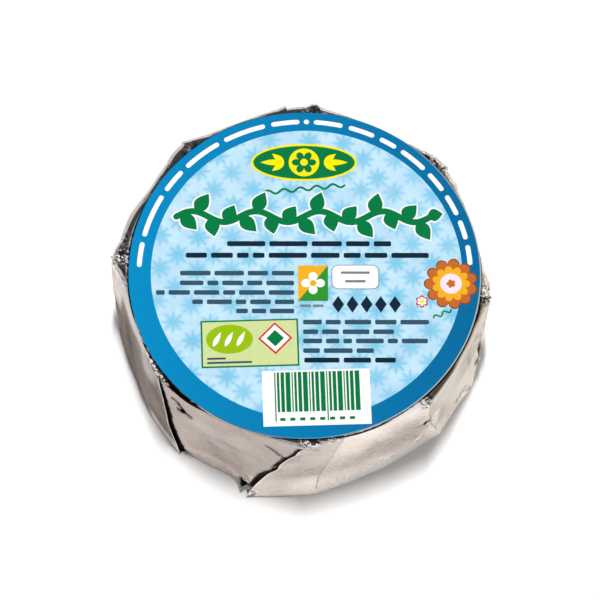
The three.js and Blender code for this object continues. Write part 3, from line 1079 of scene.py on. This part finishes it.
def print_piece(name, shapes, turn=PRINT_TURN, middle=(0, 0)):
    """One printed element. Each shape has an ink, a layer and an outline, and makes a thin closed
    plate of ink on the paper. Shapes of one layer that cross differ a little in height."""
    vertices, faces, kinds, inks = [], [], [], []
    for number, (ink, layer, shape) in enumerate(shapes):
        if ink not in inks:
            inks.append(ink)
        height = layer * INK_STEP + (number % 8) * INK_STAGGER
        flat = np.array(shape, float) @ rotation(turn)
        flat = flat + np.array(middle) @ rotation(PRINT_TURN) + LABEL_CENTRE
        base, count = len(vertices), len(flat)
        for level in (height, -INK_SINK):
            lifts = zip(flat, paper_lift(flat))
            vertices += [(x, y, PAPER_TOP + level + up) for (x, y), up in lifts]
        faces.append([base + i for i in range(count)])
        faces.append([base + count + i for i in reversed(range(count))])
        for i in range(count):
            here, following = base + i, base + (i + 1) % count
            faces.append([count + here, count + following, following, here])
        kinds += [inks.index(ink)] * (count + 2)
    materials = [ink_material(ink) for ink in inks]
    piece = finish_mesh(name, vertices, faces, materials, kinds, smooth=False)
    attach(piece, "root")


def word_lengths(rng, total, gap, shortest, longest):
    """Lengths of dashes that fill a line, with a gap after each but the last"""
    lengths = []
    while sum(lengths) + gap * len(lengths) < total - shortest:
        lengths.append(rng.uniform(shortest, longest))
    spare = total - gap * (len(lengths) - 1) - sum(lengths)
    return [length + spare / len(lengths) for length in lengths]


def dashes(rng, ink, left, right, v, height, gap=0.75, shortest=2.0, longest=6.0):
    u = left
    for length in word_lengths(rng, right - left, gap, shortest, longest):
        yield ink, 1, plate(u + length / 2, v, length, height, height * 0.3)
        u += length + gap


def print_badge():
    shapes = [
        ("yellow", 1, ellipse(0, 0, 10.4, 3.98)), ("green", 2, ellipse(0, 0, 9.95, 3.55)),
        ("yellow", 3, circle(0, 0, 3)), ("green", 4, rosette(0, 0, 2.4, 6, 1.2, radians(30))),
        ("yellow", 5, circle(0, 0, 0.75)),
    ]
    for side in (0, pi):
        for tilt, reach, length in ((-38, 3.9, 3.0), (0, 4.2, 4.4), (38, 3.9, 3.0)):
            start = polar(reach, side)
            shapes.append(("yellow", 3, leaf(*start, length, 1.25, side + radians(tilt))))
    print_piece("print_badge", shapes, middle=(-0.07, 23.4))


def print_flourish():
    wave = wave_path((-8.0, 16.9), (7.8, 18.6), 0.42, 3.2)
    print_piece("print_flourish", [("green", 1, ribbon(wave, 0.42))])


def garland_shapes(grow):
    """A waving stem, then leaves to both sides. Grow widens every shape, for the outline."""
    left, right, middle, swing, length = -25.0, 24.6, 11.8, 1.15, 12.4
    yield ribbon(wave_path((left, middle), (right, middle), swing, length), 1.3 + 2 * grow)
    count = 17
    for i in range(count):
        u = mix(left + 0.9, right - 2.6, i / (count - 1))
        v = middle + swing * sin(2 * pi * (u - left) / length)
        tilt = radians(62 if i % 2 else -62) + 0.3 * cos(2 * pi * (u - left) / length)
        reach = 4.5 if i % 4 < 2 else 4.0
        start = polar(-grow, tilt, u, v)
        yield leaf(*start, reach + 2 * grow, 2.9 + 2 * grow, tilt)
    yield leaf(right - 0.6 - grow, middle + 0.2, 3.0 + 2 * grow, 2.6 + 2 * grow, radians(8))


def print_garland():
    shapes = []
    for ink, grow, layer in (("white", 0.34, 1), ("green", 0.0, 3)):
        for number, shape in enumerate(garland_shapes(grow)):
            shapes.append((ink, layer + min(number, 1), shape))
    print_piece("print_garland", shapes)


def print_lines():
    rng = np.random.default_rng(5)
    bold = []
    for left, right, v in ((-15.1, 16.8, 6.1), (-23.1, 24.1, 3.65)):
        bold += dashes(rng, "dark", left, right, v, 1.05, 0.8, 2.6, 8.0)
    print_piece("print_bold_lines", bold)
    small = []
    for left, v in ((-24.2, -0.1), (-24.2, -2.15), (-28.8, -4.15), (-21.8, -6.1), (-13.3, -8.0)):
        small += dashes(rng, "slate", left, -2.1, v, 0.95)
    for right, v in ((23.9, -10.3), (17.1, -12.3), (23.6, -14.2), (13.2, -16.2)):
        small += dashes(rng, "slate", -0.4, right, v, 0.95)
    small += dashes(rng, "dark", -0.2, 17.4, -18.15, 1.0, 0.8, 3.0, 7.0)
    small += dashes(rng, "grey", -1.0, 3.6, -6.9, 0.5, 0.4, 1.0, 2.0)
    print_piece("print_small_lines", small)


def print_tile():
    """A small tile in two colours with a four-petalled flower"""
    width, height = 5.8, 7.4
    half = [(width / 2, -height / 2), (width / 2, height / 2), (-width / 2, -height / 2)]
    print_piece("print_tile", [
        ("orange", 1, plate(0, 0, width, height)), ("leaf", 2, half),
        ("white", 3, rosette(0, 0, 2.3, 4, 1.5, radians(45))), ("orange", 4, circle(0, 0, 0.65)),
    ], middle=(1.57, -2.2))


def print_plate():
    print_piece("print_plate", [
        ("grey", 1, plate(0, 0, 9.2, 5.1, 1.3)), ("white", 2, plate(0, 0, 8.9, 4.8, 1.15)),
        ("grey", 3, plate(0, 0.9, 5.6, 0.5, 0.15)), ("grey", 3, plate(0, -0.9, 4.0, 0.5, 0.15)),
    ], middle=(9.77, -0.9))


def print_lozenges():
    row = [("dark", 1, lozenge((i - 2) * 2.75, 0, 2.3, 3.5)) for i in range(5)]
    print_piece("print_lozenges", row, middle=(11.9, -6.6))


def print_flowers():
    print_piece("print_daisy", [
        ("red", 1, rosette(0, 0, 1.3, 6, 0.5)), ("white", 2, rosette(0, 0, 0.95, 6, 0.4)),
        ("yellow", 3, circle(0, 0, 0.45)),
    ], middle=(22.6, -6.0))
    print_piece("print_flower", [
        ("deep_brown", 1, rosette(0, 0, 5.3, 11, 1.1)), ("brown", 2, rosette(0, 0, 5.05, 11, 1.05)),
        ("orange", 3, rosette(0, 0, 3.7, 11, 0.9, radians(16))), ("pink", 4, circle(0, 0, 2.1)),
        ("brown", 5, rosette(0, 0, 0.9, 5, 0.35)),
    ], middle=(28.3, -2.3))
    wave = wave_path((24.8, -9.4), (28.2, -7.7), 0.4, 1.9)
    print_piece("print_curl", [("green", 1, ribbon(wave, 0.32))])


def print_panel():
    shapes = [
        ("green", 1, plate(0, 0, 18.8, 9.75)), ("pale_green", 2, plate(0, 0, 18.15, 9.1)),
        ("bright_green", 3, ellipse(-3.9, 0.95, 4.5, 3.0)),
    ]
    for i in range(3):
        start = -3.9 + (i - 1) * 2.3
        shapes.append(("white", 4, leaf(start - 0.9, -0.55, 3.4, 0.95, radians(62))))
    for ink, layer, side in (("red", 3, 6.6), ("white", 4, 5.6), ("green", 5, 3.4)):
        shapes.append((ink, layer, lozenge(4.9, 0.9, side, side)))
    for v, length in ((-3.0, 3.6), (-3.85, 8.6)):
        shapes.append(("slate", 3, plate(-8.3 + length / 2, v, length, 0.4, 0.1)))
    print_piece("print_panel", shapes, PANEL_TURN, (-10.65, -14.7))


def print_bars():
    """Plain upright bars on a white plate, with short dashes under them"""
    shapes = [("white", 1, plate(0, 0, 20.65, 11.3))]
    u, i = -8.0, 0
    while u < 7.7:
        width = 0.24 + 0.22 * ((5 * i) % 4)
        tall = 10.0 if i % 12 == 0 else 8.1
        shapes.append(("green", 2, plate(u + width / 2, 5.3 - tall / 2, width, tall)))
        u += width + 0.26 + 0.2 * ((3 * i) % 3)
        i += 1
    shapes += [("green", 2, plate(-6.6 + k * 1.9, -4.3, 1.0, 0.6, 0.1)) for k in range(8)]
    print_piece("print_bars", shapes, PANEL_TURN, (2.13, -25.8))


def print_border():
    """Dashes round the upper half of the blue border, with a dot at the top"""
    rng = np.random.default_rng(8)
    radius, gap, width = 32.15, 1.25, 0.95
    cap = degrees(width / 2 / radius)
    shapes = []
    for start, end in ((177.9, 91.6), (86.6, 2.9)):
        here = start
        for length in word_lengths(rng, radians(start - end) * radius, gap, 2.8, 9.0):
            first, last = here - cap, here - degrees(length / radius) + cap
            count = max(2, ceil((first - last) / 1.2))
            path = [polar(radius, radians(mix(first, last, i / count))) for i in range(count + 1)]
            shapes.append(("white", 1, ribbon(path, width)))
            here -= degrees((length + gap) / radius)
    shapes.append(("white", 1, circle(0.45, radius, 0.5)))
    print_piece("print_border", shapes)


# Meshes

def finish_mesh(name, vertices, faces, materials, face_materials=None, values=None, smooth=True):
    """A piece from points in millimetres. Points that fall together are joined."""
    mesh = bpy.data.meshes.new(name)
    mesh.from_pydata((np.asarray(vertices) * METRES).tolist(), [], list(faces))
    for key, numbers in (values or {}).items():
        attribute = mesh.attributes.new(key, "FLOAT", "POINT")
        attribute.data.foreach_set("value", np.asarray(numbers, np.float32))
    for material in materials:
        mesh.materials.append(material)
    if face_materials is not None:
        mesh.polygons.foreach_set("material_index", face_materials)
    work = bmesh.new()
    work.from_mesh(mesh)
    bmesh.ops.remove_doubles(work, verts=work.verts, dist=1e-6)
    bmesh.ops.dissolve_degenerate(work, edges=work.edges, dist=1e-7)
    bmesh.ops.triangulate(work, faces=work.faces)
    work.to_mesh(mesh)
    work.free()
    mesh.polygons.foreach_set("use_smooth", [smooth] * len(mesh.polygons))
    mesh.update()
    return add_object(name, mesh)


# Floor and light

FLOOR_HALF = 1500
FLOOR_LEVEL = -0.02  # just clear of the base
FLOOR_DULL = (0.955, 0.955, 0.955)
FLOOR_PALE = (0.965, 0.965, 0.965)


def add_floor():
    shader = Shader("floor")
    shade = shader.blend(shader.noise(shader.place(), 40), FLOOR_DULL, FLOOR_PALE)
    material = shader.finish(Base_Color=shade, Roughness=0.9, Specular_IOR_Level=0.0)
    ends = ((-1, -1), (1, -1), (1, 1), (-1, 1))
    corners = [(x * FLOOR_HALF, y * FLOOR_HALF, FLOOR_LEVEL) for x, y in ends]
    floor = finish_mesh("floor", corners, [(0, 1, 2, 3)], [material], smooth=False)
    floor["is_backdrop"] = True


def add_world():
    """A bright band round the horizon, brightest behind and dimmest to the sides, and a dim sky
    above it"""
    shader = Shader("studio", "worlds")
    axes = shader.node("SeparateXYZ", {0: shader.node("TexCoord").outputs["Generated"]}).outputs
    band = shader.spread(axes["Z"], 0.42, 0.66, 0.92, 0.10)
    sides = shader.times(shader.times(axes["X"], axes["X"]), -0.55)
    behind = shader.math("MULTIPLY_ADD", axes["Y"], 0.25, 1.15)
    strength = shader.times(band, shader.math("ADD", sides, behind))
    light = shader.node("Background", {"Color": (1.0, 0.99, 0.98, 1), "Strength": strength})
    shader.tree.links.new(light.outputs[0], shader.node("OutputWorld").inputs[0])
    bpy.context.scene.world = shader.owner


def add_key():
    """An overhead softbox, a little behind the pack, for the short soft shadow in front"""
    data = bpy.data.lights.new("key", "AREA")
    data.shape = "ELLIPSE"
    data.size = 0.03
    data.size_y = 0.26
    data.energy = 12.1
    place = Vector((0.003, 0.052, 1.2))
    turn = place.to_track_quat("Z", "Y").to_matrix().to_4x4()
    add_object("key", data, Matrix.Translation(place) @ turn).visible_glossy = False


add_camera()
add_floor()
add_world()
add_key()
foil = make_foil()
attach(foil, "root")
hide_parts("foil_wrap")
label = make_label()
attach(label, "root")
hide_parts("paper_label")
print_badge()
print_flourish()
print_garland()
print_lines()
print_tile()
print_plate()
print_lozenges()
print_flowers()
print_panel()
print_bars()
print_border()
bpy.context.scene.view_settings.view_transform = "Standard"

boxes = {"cad": cad_box, "visual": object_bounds()}
{key: [[float(v) for v in corner] for corner in box] for key, box in boxes.items()}
